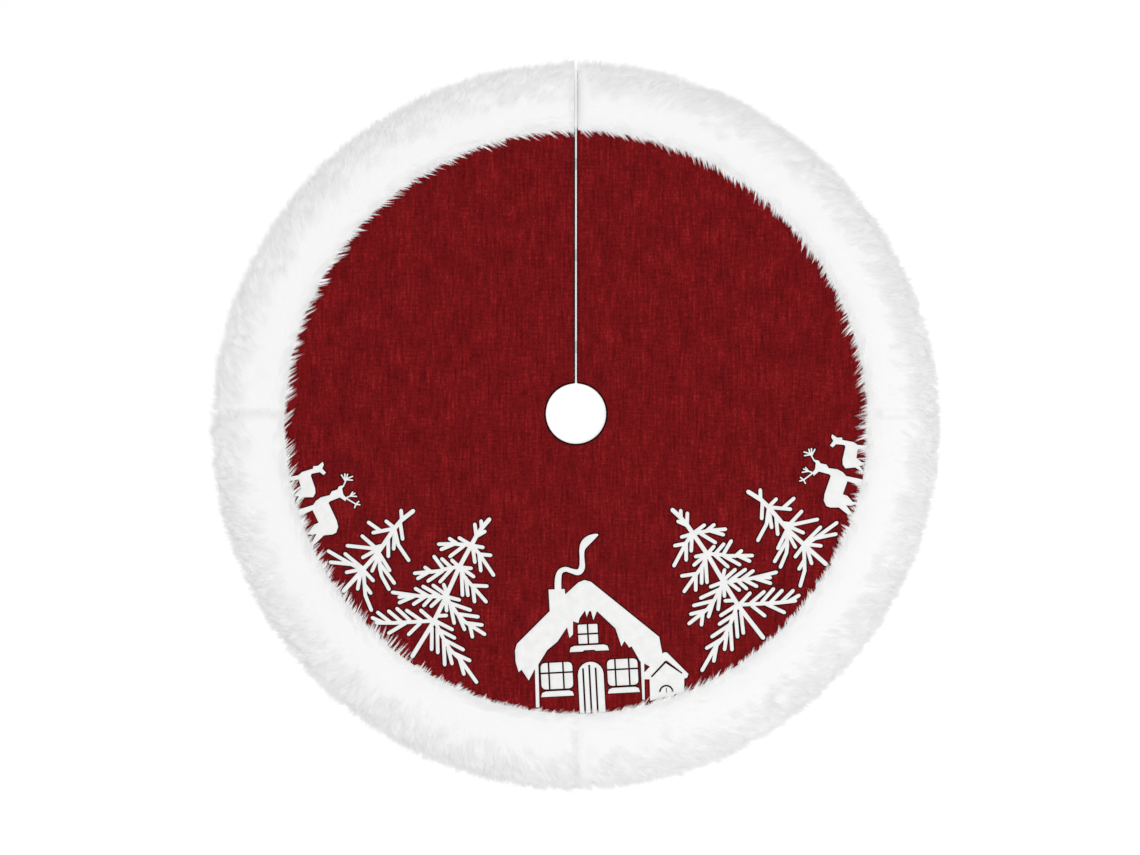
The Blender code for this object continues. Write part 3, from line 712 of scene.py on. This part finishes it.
def add_rim(shape, width):
    """Add a flat strip of that width all round a flat outline."""
    edges = [e for e in shape.edges if e.is_boundary]
    outward = {}
    for edge in edges:
        loop = edge.link_loops[0]
        run = (loop.link_loop_next.vert.co - loop.vert.co).normalized()
        for vert in edge.verts:
            outward[vert] = outward.get(vert, Vector((0, 0, 0))) + Vector((run.y, -run.x, 0))
    strip = bmesh.ops.extrude_edge_only(shape, edges=edges)["geom"]
    for vert in (g for g in strip if isinstance(g, bmesh.types.BMVert)):
        old = next(e.other_vert(vert) for e in vert.link_edges if e.other_vert(vert) in outward)
        vert.co += outward[old].normalized() * width
    shape.normal_update()
    for face in shape.faces:
        if face.normal.z < 0:
            face.normal_flip()


def felt_body(node, foot):
    """The felt cut-out with a soft rounded rim, its walls going down to its foot."""
    shape = top_outline(node)
    bmesh.ops.inset_region(shape, faces=shape.faces, thickness=FELT_ROUNDING, use_boundary=True,
                           use_even_offset=True)
    rim = {v for e in shape.edges if e.is_boundary for v in e.verts}
    for v in rim:
        v.co.z -= FELT_ROUNDING
    shape.normal_update()
    walls = [e for e in shape.edges if e.is_boundary]
    side = bmesh.ops.extrude_edge_only(shape, edges=walls)["geom"]
    for v in (g for g in side if isinstance(g, bmesh.types.BMVert)):
        v.co.z = foot
    slice_up(shape)
    mesh = bpy.data.meshes.new(node)
    shape.to_mesh(mesh)
    shape.free()
    return mesh


def felt_piece(node):
    """The felt cut-out and a flat near-black strip round it that paints the shadow at its edge, as one piece
    that follows the cloth.
    """
    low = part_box(node)[0].z
    body = felt_body(node, low - FELT_FOOT)
    shape = top_outline(node)
    for v in shape.verts:
        v.co.z = low - EDGE_SHADOW_SINK
    add_rim(shape, EDGE_SHADOW_WIDTH)
    slice_up(shape)
    # The strip round the felt is painted shadow, in the second material.
    for face in shape.faces:
        face.material_index = 1
    shape.from_mesh(body)
    for v in shape.verts:
        v.co.z += float(ground(v.co.x, v.co.y))
    bmesh.ops.triangulate(shape, faces=shape.faces)
    mesh = bpy.data.meshes.new(f"{node}_applique")
    shape.to_mesh(mesh)
    shape.free()
    mesh.materials.append(FELT)
    mesh.materials.append(EDGE_PAINTED_SHADOW)
    mesh.shade_smooth()
    mesh.set_sharp_from_angle(angle=SHARP_OVER)
    place_on(mesh, node, FRONT)


def make_felts():
    for node in sorted(frame["nodes"]):
        if node.startswith("felt_"):
            felt_piece(node)


# Fur.

UNDERCOAT_ROWS = 52
BACKING_ROWS = 24
BACKING_Z = 0.0006
CLUMP_SPACING = 0.0075
STRANDS_IN_CLUMP = 20
STRAND_WIDTH = 0.00058
STRAY_SHARE = 0.05
PILE_LENGTH = (0.020, 0.032)
INNER_REACH = (-0.003, -0.011)
FRINGE_SPACING = 0.0052
FRINGE_STRANDS = 6
FRINGE_LENGTH = (0.010, 0.027)
RIM_SPACING = 0.0046
RIM_LENGTH = (0.014, 0.038)
PILE_REACH = (-0.011, 0.005)
RIM_REACH = (-0.004, 0.015)
SLIT_FLARE = 0.11
STRAND_FLOOR = 0.0012
FRINGE_CLEARANCE = 0.0030

# How steeply strands leave their roots and end at their tips, in degrees.
PILE_RISE, PILE_TOUSLE, PILE_FALL = (20, 30), (-6, 8), (-10, 4)
FRINGE_RISE, FRINGE_FALL = (6, 18), (-26, -8)
RIM_RISE, RIM_FALL = (4, 18), (-26, -8)

# How many times steeper a stray strand rises, and its spread of direction in radians.
STRAY_RISE, STRAY_TURN = (1.4, 2.2), 0.45

# How far strands stand apart at their roots, and how far they draw together at the tips.
PILE_SPREAD, PILE_GATHER = CLUMP_SPACING * 0.45, (0.3, 0.75)
FRINGE_SPREAD, FRINGE_GATHER = 0.0013, (0.2, 0.9)
RIM_SPREAD, RIM_GATHER = 0.0022, 0.8

# The shares of the fur's width where each kind of strand grows.
PILE_SHARES, FRINGE_SHARES, RIM_SHARES = (0.03, 0.99), (0.0, 0.06), (0.84, 1.0)
RIM_STRANDS = 8

# The shares of the width over which the pile turns from lying inwards to lying outwards.
LAY_TURNS = (0.02, 0.34)
# How much darker the first points of each strand are painted, as painted shade at the roots under the pile.
ROOT_PAINTED_SHADE = 0.2

# The undercoat's heights, and how far strands are rooted below its surface.
CROWN_HEIGHT = 0.0115
TUFT_HEIGHT, CLUMP_HEIGHT = 0.0055, 0.0028
OUTER_EDGE_Z = 0.002
UNDERCOAT_HEM_Z = 0.0008
ROOT_DEPTH = 0.002
SLIT_LIP = 0.0016
SEAM_SOFT, SLIT_SOFT = 0.012, 0.014

# How far the nap leans clockwise, and how far the fringe reaches, by the angle round the skirt in degrees.
LEAN = (
    (0, 0.3), (90, 1.0), (180, 0.8), (225, 0.2), (270, -0.9), (290, -1.4), (320, -0.9), (345, 0.0),
    (360, 0.3),
)
FRINGE_REACH = (
    (0, 0.9), (60, 0.8), (90, 0.8), (180, 1.0), (225, 1.0), (255, 0.5), (270, 0.35), (278, 0.4), (284, 1.1),
    (293, 1.1), (302, 0.5), (340, 0.6), (360, 0.9),
)

QUARTERS = {
    "back_right": (1, 1, "right"),
    "back_left": (-1, 1, "left"),
    "front_left": (-1, -1, "front"),
    "front_right": (1, -1, "front"),
}


def quarter_frame(quarter, angles):
    """For each angle from the fold line: its origin, heading, and the distances to the fur's two edges."""
    side, end, _ = QUARTERS[quarter]
    corner = np.array((side * (HALF_SLIT if end > 0 else 0), FOLD_Y))
    origins = np.broadcast_to(corner, (len(angles), 2))
    headings = np.stack([side * np.cos(angles), end * np.sin(angles)], 1)
    near = reach(origins, headings, CLOTH_EDGE) + FUR_BASE_IN
    far = reach(origins, headings, RIM) + FUR_BASE_OUT
    return origins, headings, near, far


def band_grid(quarter, rows):
    """A quarter of the band by angle and share of its width, and whether its quads are turned over."""
    origins, headings, near, far = quarter_frame(quarter, quarter_turn())
    share = np.linspace(0, 1, rows)
    distance = near[:, None] + share * (far - near)[:, None]
    x = origins[:, 0, None] + headings[:, 0, None] * distance
    y = origins[:, 1, None] + headings[:, 1, None] * distance
    side, end, _ = QUARTERS[quarter]
    return x, y, np.broadcast_to(share, x.shape), side * end > 0


def seam_dip(x, y):
    """1 away from the seams between the four lengths of fur, less at a seam, and least along the slit."""
    to_fold = np.abs(y - FOLD_Y)
    to_middle = np.abs(x)
    seams = 0.75 + 0.25 * smooth_step(0, SEAM_SOFT, np.minimum(to_fold, to_middle))
    slit = 0.6 + 0.4 * smooth_step(HALF_SLIT, SLIT_SOFT, to_middle)
    return np.where(np.asarray(y) > 0, np.minimum(seams, slit), seams)


def coat_height(x, y, share):
    """Height of the dense undercoat at a share of the way from the inner to the outer edge."""
    crown = np.clip(np.sin(math.pi * np.clip(share, 0, 1)), 0, 1) ** 0.7
    edge = CLOTH_TOP + STRAND_FLOOR + (OUTER_EDGE_Z - CLOTH_TOP) * np.clip(share, 0, 1)
    tufts = value_noise(x, y, 0.022, 11) - 0.5
    clumps = value_noise(x, y, 0.009, 12) - 0.5
    rough = 0.22 + 0.2 * smooth_step(0.3, 0.7, share)
    height = edge + crown * (CROWN_HEIGHT + rough * (TUFT_HEIGHT * tufts + CLUMP_HEIGHT * clumps))
    return height * seam_dip(x, y)


def by_angle(table, angle):
    """A table's value at each angle in radians."""
    degrees = np.degrees(angle) % 360
    return np.interp(degrees, [row[0] for row in table], [row[1] for row in table])


def leaning(angle, outward, swirl):
    """Flat unit directions: a part straight out from the skirt's middle and a part clockwise round it."""
    radial = np.stack([np.cos(angle), np.sin(angle)], -1)
    clockwise = np.stack([np.sin(angle), -np.cos(angle)], -1)
    flat = radial * np.broadcast_to(outward, np.shape(angle))[..., None] + clockwise * swirl[..., None]
    return flat / np.linalg.norm(flat, axis=-1, keepdims=True)


def lay_direction(x, y, share, rng):
    """The flat direction that the pile lies in: inwards at the inner edge and outwards at the rim."""
    angle = np.arctan2(y, x)
    outward = -1.0 + 2.0 * smooth_step(*LAY_TURNS, share)
    swirl = by_angle(LEAN, angle) + 0.9 * (value_noise(x, y, 0.045, 21) - 0.5)
    swirl = swirl + rng.normal(0, 0.12, np.shape(x))
    return leaning(angle, outward, swirl)


def trimmed(roots, flats, lengths, rim_reach, rng):
    """Strand lengths cut back so that the tips end close to the skirt's rim and the cloth's edge."""
    limits = ((*RIM, rim_reach, 1), (*CLOTH_EDGE, INNER_REACH, -1))
    for centre, radius, margin, way in limits:
        root_r = np.linalg.norm(roots - centre, axis=1)
        tip_r = np.linalg.norm(roots + flats * lengths[:, None] - centre, axis=1)
        limit = radius + margin[0] + (margin[1] - margin[0]) * rng.random(len(roots)) ** 2
        past = way * (tip_r - limit) > 0
        travel = np.where(past, tip_r - root_r, way)
        lengths = np.where(past, lengths * np.clip((limit - root_r) / travel, 0.2, 1), lengths)
    return lengths


def strand_mesh(name, quarter, strands):
    """Ribbons that rise from their roots and bend over to lie along a flat direction."""
    roots, flats, lengths, rise, fall, widths, tints, floor_z = strands
    steps = 4
    count = len(roots)
    t = np.arange(steps) / (steps - 1)
    elevation = rise[:, None] + (fall - rise)[:, None] * np.sqrt(t)[None, :]
    ds = (lengths / (steps - 1))[:, None]
    run = np.concatenate([np.zeros((count, 1)), np.cumsum(np.cos(elevation[:, 1:]) * ds, 1)], 1)
    climb = np.concatenate([np.zeros((count, 1)), np.cumsum(np.sin(elevation[:, 1:]) * ds, 1)], 1)
    line = np.empty((count, steps, 3))
    line[..., :2] = roots[:, None, :2] + flats[:, None, :] * run[..., None]
    line[..., 2] = np.maximum(roots[:, None, 2] + climb, floor_z[:, None] + 0.001 * (1 - t)[None, :])
    side, end, _ = QUARTERS[quarter]
    if end > 0:
        edge = HALF_SLIT + STRAND_WIDTH / 2 + SLIT_FLARE * line[..., 2]
        line[..., 0] = side * np.maximum(side * line[..., 0], edge)
    across = np.stack([-flats[:, 1], flats[:, 0]], 1)
    taper = np.array((1.0, 1.0, 0.7, 0.0))
    half = (widths[:, None] * taper[None, :] / 2)
    left = line.copy()
    right = line.copy()
    left[..., :2] += across[:, None, :] * half[..., None]
    right[..., :2] -= across[:, None, :] * half[..., None]
    tips = line[:, -1:, :]
    block = np.concatenate([np.stack([left[:, :-1], right[:, :-1]], 2).reshape(count, -1, 3), tips], 1)
    per = 2 * (steps - 1) + 1
    base = (np.arange(count) * per)[:, None]
    triangles = []
    for k in range(0, 2 * (steps - 2), 2):
        triangles += [(k, k + 1, k + 3), (k, k + 3, k + 2)]
    triangles.append((per - 3, per - 2, per - 1))
    faces = (base[:, None, :] + np.array(triangles)[None]).reshape(-1, 3)[:, ::-1]
    piece = mesh_from(name, block.reshape(-1, 3), np.ascontiguousarray(faces))
    shade = np.repeat(tints[:, None], per, 1)
    # Painted shade: the strands' roots are made darker.
    shade[:, :2] -= ROOT_PAINTED_SHADE
    add_tint_and_painted_shade(piece, shade)
    return piece


def add_tint_and_painted_shade(piece, values):
    tint_and_painted_shade = piece.data.attributes.new("tint_and_painted_shade", "FLOAT", "POINT")
    tint_and_painted_shade.data.foreach_set("value", values.ravel().astype(np.float32))


def scatter(quarter, spacing, low, high, rng):
    """Points about a spacing apart over a quarter, between two shares of the fur's width."""
    area = math.pi / 4 * (RIM_R ** 2 - CLOTH_R ** 2) * (high - low)
    count = int(area / spacing ** 2)
    angles = rng.random(count) * math.pi / 2
    origins, headings, near, far = quarter_frame(quarter, angles)
    share = low + (high - low) * rng.random(count)
    distance = near + share * (far - near)
    place = origins + headings * distance[:, None]
    return place, share


def turned(flats, angle):
    """Flat directions turned by an angle each."""
    x, y = flats.T
    return np.stack([x * np.cos(angle) - y * np.sin(angle), x * np.sin(angle) + y * np.cos(angle)], 1)


def clumped(centres, flats, length, n, width, gather, rng):
    """Roots, directions and lengths of the strands in clumps that draw together at their tips."""
    spread = rng.normal(0, width, (len(centres), n, 2))
    lengths = length[:, None] * rng.uniform(0.8, 1.1, (len(centres), n))
    tips = centres[:, None] + flats[:, None] * lengths[..., None] + spread * (1 - gather)
    roots = centres[:, None] + spread
    toward = tips - roots
    toward = toward / np.linalg.norm(toward, axis=-1, keepdims=True)
    return roots.reshape(-1, 2), toward.reshape(-1, 2), lengths.ravel()


def pile(quarter, rng):
    """The long pile in clumps over one quarter."""
    centres, share = scatter(quarter, CLUMP_SPACING, *PILE_SHARES, rng)
    n = STRANDS_IN_CLUMP
    flats = lay_direction(centres[:, 0], centres[:, 1], share, rng)
    length = rng.uniform(*PILE_LENGTH, len(centres))
    gather = rng.uniform(*PILE_GATHER, (len(centres), 1, 1))
    roots, toward, lengths = clumped(centres, flats, length, n, PILE_SPREAD, gather, rng)
    lengths = trimmed(roots, toward, lengths, PILE_REACH, rng)
    shares = np.repeat(share, n)
    tousled = smooth_step(0.3, 0.6, shares)
    rise = np.radians(rng.uniform(*PILE_RISE, len(roots)) + tousled * rng.uniform(*PILE_TOUSLE, len(roots)))
    rise *= np.where(shares > 0.85, 0.5, 1)
    stray = rng.random(len(roots)) < STRAY_SHARE
    rise = np.where(stray, rise * rng.uniform(*STRAY_RISE, len(roots)), rise)
    turn = np.where(stray, rng.normal(0, STRAY_TURN, len(roots)), 0)
    toward = turned(toward, turn)
    fall = np.radians(rng.uniform(*PILE_FALL, len(roots)))
    z = coat_height(roots[:, 0], roots[:, 1], shares) - ROOT_DEPTH
    z = np.where(np.hypot(roots[:, 0], roots[:, 1]) > RIM_R + FUR_BASE_OUT, 0.003, z)
    clump_tint = 0.84 + (0.08 + 0.12 * smooth_step(0.3, 0.6, share)) * (rng.random(len(centres)) - 0.6)
    tints = np.repeat(clump_tint, n) + rng.uniform(-0.1, 0.1, len(roots))
    widths = STRAND_WIDTH * rng.uniform(0.75, 1.2, len(roots))
    low = np.full(len(roots), STRAND_FLOOR)
    strands = (np.column_stack([roots, z]), toward, lengths, rise, fall, widths, tints, low)
    return strand_mesh(f"fur_pile_{quarter}", quarter, strands)


def fringe(quarter, rng):
    """Fine pointed tufts that reach in over the red cloth."""
    centres, share = scatter(quarter, FRINGE_SPACING, *FRINGE_SHARES, rng)
    x, y = centres.T
    angle = np.arctan2(y, x)
    swirl = by_angle(LEAN, angle) * 1.1 + 0.5 * (value_noise(x, y, 0.03, 31) - 0.5)
    flats = leaning(angle, -1, swirl + rng.normal(0, 0.08, len(x)))
    length = rng.uniform(*FRINGE_LENGTH, len(x)) * by_angle(FRINGE_REACH, angle)
    length *= 0.75 + 0.5 * value_noise(x, y, 0.035, 32)
    gather = rng.uniform(*FRINGE_GATHER, (len(x), 1, 1))
    roots, toward, lengths = clumped(centres, flats, length, FRINGE_STRANDS, FRINGE_SPREAD, gather, rng)
    shares = np.repeat(share, FRINGE_STRANDS)
    z = coat_height(roots[:, 0], roots[:, 1], shares) - 0.001
    rise = np.radians(rng.uniform(*FRINGE_RISE, len(roots)))
    fall = np.radians(rng.uniform(*FRINGE_FALL, len(roots)))
    tints = rng.uniform(0.8, 1.0, len(roots))
    widths = STRAND_WIDTH * rng.uniform(0.5, 0.85, len(roots))
    low = np.full(len(roots), CLOTH_TOP + FRINGE_CLEARANCE)
    strands = (np.column_stack([roots, z]), toward, lengths, rise, fall, widths, tints, low)
    return strand_mesh(f"fur_fringe_{quarter}", quarter, strands)


def rim_fuzz(quarter, rng):
    """The pile's soft outer edge, which lies on what the skirt lies on."""
    centres, share = scatter(quarter, RIM_SPACING, *RIM_SHARES, rng)
    n = RIM_STRANDS
    x, y = centres.T
    angle = np.arctan2(y, x)
    swirl = by_angle(LEAN, angle) * 0.5 + 0.6 * (value_noise(x, y, 0.03, 41) - 0.5)
    flats = leaning(angle, 1, swirl + rng.normal(0, 0.2, len(x)))
    length = rng.uniform(*RIM_LENGTH, len(x))
    roots, toward, lengths = clumped(centres, flats, length, n, RIM_SPREAD, RIM_GATHER, rng)
    toward = turned(toward, rng.normal(0, 0.12, len(toward)))
    lengths = trimmed(roots, toward, lengths, RIM_REACH, rng)
    shares = np.repeat(share, n)
    z = coat_height(roots[:, 0], roots[:, 1], shares) - ROOT_DEPTH
    rise = np.radians(rng.uniform(*RIM_RISE, len(roots)))
    fall = np.radians(rng.uniform(*RIM_FALL, len(roots)))
    tints = rng.uniform(0.6, 1.0, len(roots))
    widths = STRAND_WIDTH * rng.uniform(0.7, 1.1, len(roots))
    low = np.full(len(roots), STRAND_FLOOR)
    strands = (np.column_stack([roots, z]), toward, lengths, rise, fall, widths, tints, low)
    return strand_mesh(f"fur_rim_{quarter}", quarter, strands)


def undercoat(quarter):
    """The crowned, tufted body of the pile, down to the backing at its outer edge and along the slit."""
    x, y, share, turned_over = band_grid(quarter, UNDERCOAT_ROWS)
    z = coat_height(x, y, share)
    z[:, 0] = CLOTH_TOP - 2 * CLOTH_DROP
    z[:, -1] = UNDERCOAT_HEM_Z
    grid = np.stack([x, y, z], -1)
    side, end, _ = QUARTERS[quarter]
    if end > 0:
        edge = grid[-1:]
        lip = edge + (side * SLIT_LIP, 0, SLIT_LIP / 2)
        hem = edge * (1, 1, 0) + (0, 0, UNDERCOAT_HEM_Z)
        grid = np.concatenate([grid[:-1], lip, edge * (1, 1, 0.6), hem])
    faces = grid_faces(*grid.shape[:2], flip=turned_over)
    piece = mesh_from(f"fur_undercoat_{quarter}", grid.reshape(-1, 3), faces)
    # Painted shade: the undercoat is darker the lower it lies.
    add_tint_and_painted_shade(piece, 0.4 + 0.6 * grid[..., 2] / grid[..., 2].max())
    piece.data.materials.append(UNDERCOAT)
    return piece


def backing(quarter):
    """The knitted cloth that the pile grows from, under the band."""
    x, y, _, turned_over = band_grid(quarter, BACKING_ROWS)
    z = np.full_like(x, BACKING_Z)
    z[:, 0] = LINING_LOW - 0.0002
    points = np.stack([x, y, z], -1).reshape(-1, 3)
    piece = mesh_from(f"fur_backing_{quarter}", points, grid_faces(*x.shape, flip=not turned_over))
    piece.data.materials.append(BACKING)
    return piece, flat_area(x, y)


def make_fur():
    rng = np.random.default_rng(SEED)
    for quarter, (_, _, place) in QUARTERS.items():
        base = undercoat(quarter)
        sheet, area = backing(quarter)
        long_pile = pile(quarter, rng)
        inner_fringe = fringe(quarter, rng)
        rim = rim_fuzz(quarter, rng)
        for piece in (long_pile, inner_fringe, rim):
            piece.data.materials.append(FUR)
        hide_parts(f"fur_band_{quarter}")
        for piece in (base, sheet, long_pile, inner_fringe, rim):
            carry(piece, place)


# Hook and loop closures.

TAPE_INSET = 0.0018
TAPE_SINK = 0.00025
TAPE_CORNER_R = 0.002
TAPE_CORNER_STEPS = 3


def tape_body(node):
    """Hooks are sewn to the right flap and loops to the left."""
    return FLAPS["right" if node.startswith("hook") else "left"]


def tape(node):
    """A strip of tape with rounded corners where the CAD strip is."""
    hook = node.startswith("hook")
    shape = bmesh.new()
    shape.from_mesh(frame["nodes"][node].data)
    bmesh.ops.remove_doubles(shape, verts=shape.verts, dist=SAME_PLACE)
    bmesh.ops.dissolve_limit(shape, angle_limit=FLAT_WITHIN, verts=shape.verts, edges=shape.edges)
    upright = [e for e in shape.edges if abs((e.verts[0].co - e.verts[1].co).normalized().z) > FACING_UP]
    bmesh.ops.bevel(shape, geom=upright, offset=TAPE_CORNER_R, segments=TAPE_CORNER_STEPS, affect="EDGES",
                    clamp_overlap=True)
    bmesh.ops.triangulate(shape, faces=shape.faces)
    mesh = bpy.data.meshes.new(f"{node}_tape")
    shape.to_mesh(mesh)
    shape.free()
    mesh.materials.append(HOOK_TAPE if hook else LOOP_TAPE)
    place_on(mesh, node, tape_body(node))


def tape_stitching(node):
    """A rectangle of white stitches that sews the tape to its own flap."""
    low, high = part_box(node)
    x0, x1 = low.x + TAPE_INSET, high.x - TAPE_INSET
    if node.startswith("hook"):
        x0 = max(x0, HALF_SLIT + 2 * TAPE_INSET)
    y0, y1 = low.y + TAPE_INSET, high.y - TAPE_INSET
    corners = ((x0, y0), (x1, y0), (x1, y1), (x0, y1), (x0, y0))
    sides = [straight_stitches(*a, *b) for a, b in zip(corners, corners[1:])]
    piece = stitches(f"{node}_stitching", *joined(*sides), low.z + TAPE_SINK, WHITE_THREAD, "lining")
    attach(piece, tape_body(node))


def make_closures():
    for node in sorted(frame["nodes"]):
        if node.startswith(("hook_tab", "loop_patch")):
            tape(node)
            tape_stitching(node)


# Camera, light and floor.

SKIRT_SHARE_OF_VIEW = 0.6395
VIEW_WIDTH = 2 * RIM_R / SKIRT_SHARE_OF_VIEW
VIEW_CENTRE = (-0.0100, -0.0017)
LENS = 100
SENSOR = 36


def make_camera():
    data = bpy.data.cameras.new("camera")
    data.lens = LENS
    data.sensor_width = SENSOR
    camera = bpy.data.objects.new("camera", data)
    camera.location = (*VIEW_CENTRE, VIEW_WIDTH * LENS / SENSOR + CLOTH_TOP)
    data.clip_end = FAR_CLIP
    bpy.context.scene.collection.objects.link(camera)
    bpy.context.scene.camera = camera


OVERHEAD = {"place": (0, 0.1, 6.5), "size": 1.2, "power": 300}
KEY = {"place": (2.2, -1.4, 2.4), "size": 1.4, "power": 16}
WORLD_STRENGTH = 0.36
FAR_CLIP = 50
FLOOR_HALF = 6
FLOOR_Z = -0.0006


def area_light(name, place, size, power):
    data = bpy.data.lights.new(name, "AREA")
    data.size = size
    data.energy = power
    light = bpy.data.objects.new(name, data)
    light.location = place
    light.rotation_euler = (-Vector(place)).to_track_quat("-Z", "Y").to_euler()
    bpy.context.scene.collection.objects.link(light)


def make_light():
    area_light("overhead", **OVERHEAD)
    area_light("key", **KEY)
    world = bpy.data.worlds.new("studio")
    world.use_nodes = True
    back = world.node_tree.nodes["Background"]
    back.inputs["Color"].default_value = (1, 1, 1, 1)
    back.inputs["Strength"].default_value = WORLD_STRENGTH
    bpy.context.scene.world = world
    bpy.context.scene.view_settings.view_transform = "Standard"


def make_floor():
    corners = [(x * FLOOR_HALF, y * FLOOR_HALF, FLOOR_Z) for x, y in ((-1, -1), (1, -1), (1, 1), (-1, 1))]
    floor = mesh_from("floor", corners, np.array(((0, 1, 2, 3),)))
    floor.data.materials.append(floor_look())


make_camera()
make_light()
make_floor()
make_cloths()
make_stitching()
make_felts()
make_closures()
make_fur()
